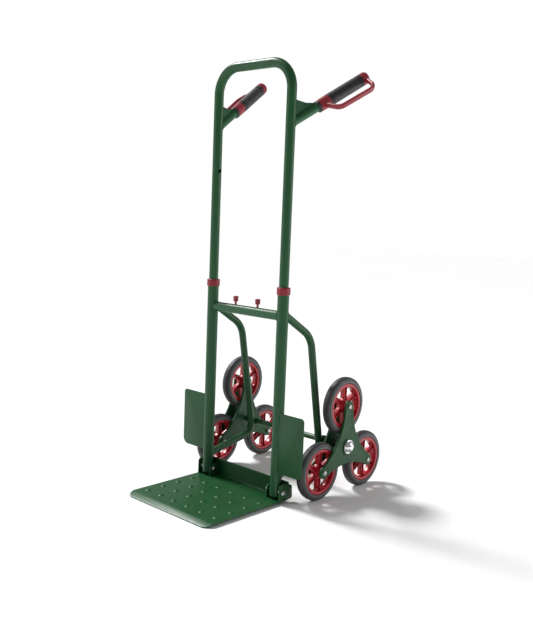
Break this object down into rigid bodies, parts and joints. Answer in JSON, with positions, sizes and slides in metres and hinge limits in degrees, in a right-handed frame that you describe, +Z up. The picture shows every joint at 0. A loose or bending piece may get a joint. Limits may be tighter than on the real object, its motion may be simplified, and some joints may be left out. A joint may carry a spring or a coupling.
{
  "type": "stair climbing hand truck",
  "caption": "Folding hand truck with a telescopic tube handle, two guarded grips, a hinged toe plate and two three-wheel stair-climbing stars on one axle.",
  "frame": {"origin": "floor level, in the middle of the footprint of the whole truck at rest", "axes": "+Z up along the uprights, +X from the left wheels to the right wheels along the axle, -Y towards the toe plate and the load"},
  "size_m": [0.4894, 0.6302, 1.14],
  "materials": {
    "green_paint": "semi-gloss dark green powder coat",
    "red_plastic": "moulded red plastic, satin",
    "rim_plastic": "deep red moulded wheel plastic",
    "grip_rubber": "soft black grip rubber",
    "black_plastic": "black moulded plastic",
    "tyre_rubber": "dark grey solid rubber tyre",
    "zinc_steel": "zinc-plated steel",
    "spring_steel": "spring steel wire",
    "chrome_cap": "bright chrome plate"
  },
  "bodies": {
    "frame": {"crossbar": "green_paint", "axle": "green_paint", "lower_tube_left": "green_paint", "lower_tube_right": "green_paint", "strut_left": "green_paint", "strut_right": "green_paint", "axle_lug_left": "green_paint", "axle_lug_right": "green_paint", "wheel_guard_left": "green_paint", "wheel_guard_right": "green_paint", "toe_pivot_bolt_left": "zinc_steel", "toe_pivot_bolt_right": "zinc_steel", "slide_collar_left": "red_plastic", "slide_collar_right": "red_plastic", "lock_spring_left": "spring_steel", "lock_spring_right": "spring_steel", "axle_cap_left": "chrome_cap", "axle_cap_right": "chrome_cap"},
    "upper_frame_body": {"upper_frame": "green_paint", "glide_bush_left": "black_plastic", "glide_bush_right": "black_plastic", "handle_stub_left": "green_paint", "handle_stub_right": "green_paint", "handle_gusset_left": "green_paint", "handle_gusset_right": "green_paint", "stub_ring_left": "black_plastic", "stub_ring_right": "black_plastic", "grip_core_left": "red_plastic", "grip_core_right": "red_plastic", "grip_sleeve_left": "grip_rubber", "grip_sleeve_right": "grip_rubber"},
    "toe_plate_body": {"toe_plate": "green_paint"},
    "lock_left": {"lock_pin_left": "zinc_steel", "lock_knob_left": "red_plastic"},
    "star_left": {"star_outer_plate_left": "green_paint", "star_inner_plate_left": "green_paint", "star_hub_sleeve_left": "zinc_steel", "wheel_bolt_top_left": "zinc_steel", "wheel_bolt_front_left": "zinc_steel", "wheel_bolt_rear_left": "zinc_steel"},
    "wheel_top_left": {"rim_top_left": "rim_plastic", "tyre_top_left": "tyre_rubber"},
    "wheel_front_left": {"rim_front_left": "rim_plastic", "tyre_front_left": "tyre_rubber"},
    "wheel_rear_left": {"rim_rear_left": "rim_plastic", "tyre_rear_left": "tyre_rubber"},
    "lock_right": {"lock_pin_right": "zinc_steel", "lock_knob_right": "red_plastic"},
    "star_right": {"star_outer_plate_right": "green_paint", "star_inner_plate_right": "green_paint", "star_hub_sleeve_right": "zinc_steel", "wheel_bolt_top_right": "zinc_steel", "wheel_bolt_front_right": "zinc_steel", "wheel_bolt_rear_right": "zinc_steel"},
    "wheel_top_right": {"rim_top_right": "rim_plastic", "tyre_top_right": "tyre_rubber"},
    "wheel_front_right": {"rim_front_right": "rim_plastic", "tyre_front_right": "tyre_rubber"},
    "wheel_rear_right": {"rim_rear_right": "rim_plastic", "tyre_rear_right": "tyre_rubber"}
  },
  "joints": [
    {"name": "handle_slide", "type": "slide", "parent": "frame", "child": "upper_frame_body", "axis": [0, 0, 1], "range_m": [-0.367, 0]},
    {"name": "toe_plate_fold", "type": "hinge", "parent": "frame", "child": "toe_plate_body", "pos_m": [0, -0.04913, 0.03], "axis": [-1, 0, 0], "range_deg": [0, 90]},
    {"name": "lock_left_slide", "type": "slide", "parent": "frame", "child": "lock_left", "axis": [1, 0, 0], "range_m": [0, 0.01], "stiffness_N_per_m": 800, "springref_m": -0.003, "deforming": ["lock_spring_left"]},
    {"name": "star_left_turn", "type": "hinge", "parent": "frame", "child": "star_left", "pos_m": [-0.193, 0.14187, 0.133], "axis": [1, 0, 0], "continuous": true},
    {"name": "wheel_top_left_spin", "type": "hinge", "parent": "star_left", "child": "wheel_top_left", "pos_m": [-0.193, 0.14187, 0.243], "axis": [1, 0, 0], "continuous": true},
    {"name": "wheel_front_left_spin", "type": "hinge", "parent": "star_left", "child": "wheel_front_left", "pos_m": [-0.193, 0.04661, 0.078], "axis": [1, 0, 0], "continuous": true},
    {"name": "wheel_rear_left_spin", "type": "hinge", "parent": "star_left", "child": "wheel_rear_left", "pos_m": [-0.193, 0.23713, 0.078], "axis": [1, 0, 0], "continuous": true},
    {"name": "lock_right_slide", "type": "slide", "parent": "frame", "child": "lock_right", "axis": [-1, 0, 0], "range_m": [0, 0.01], "stiffness_N_per_m": 800, "springref_m": -0.003, "deforming": ["lock_spring_right"]},
    {"name": "star_right_turn", "type": "hinge", "parent": "frame", "child": "star_right", "pos_m": [0.193, 0.14187, 0.133], "axis": [1, 0, 0], "continuous": true},
    {"name": "wheel_top_right_spin", "type": "hinge", "parent": "star_right", "child": "wheel_top_right", "pos_m": [0.193, 0.14187, 0.243], "axis": [1, 0, 0], "continuous": true},
    {"name": "wheel_front_right_spin", "type": "hinge", "parent": "star_right", "child": "wheel_front_right", "pos_m": [0.193, 0.04661, 0.078], "axis": [1, 0, 0], "continuous": true},
    {"name": "wheel_rear_right_spin", "type": "hinge", "parent": "star_right", "child": "wheel_rear_right", "pos_m": [0.193, 0.23713, 0.078], "axis": [1, 0, 0], "continuous": true}
  ]
}
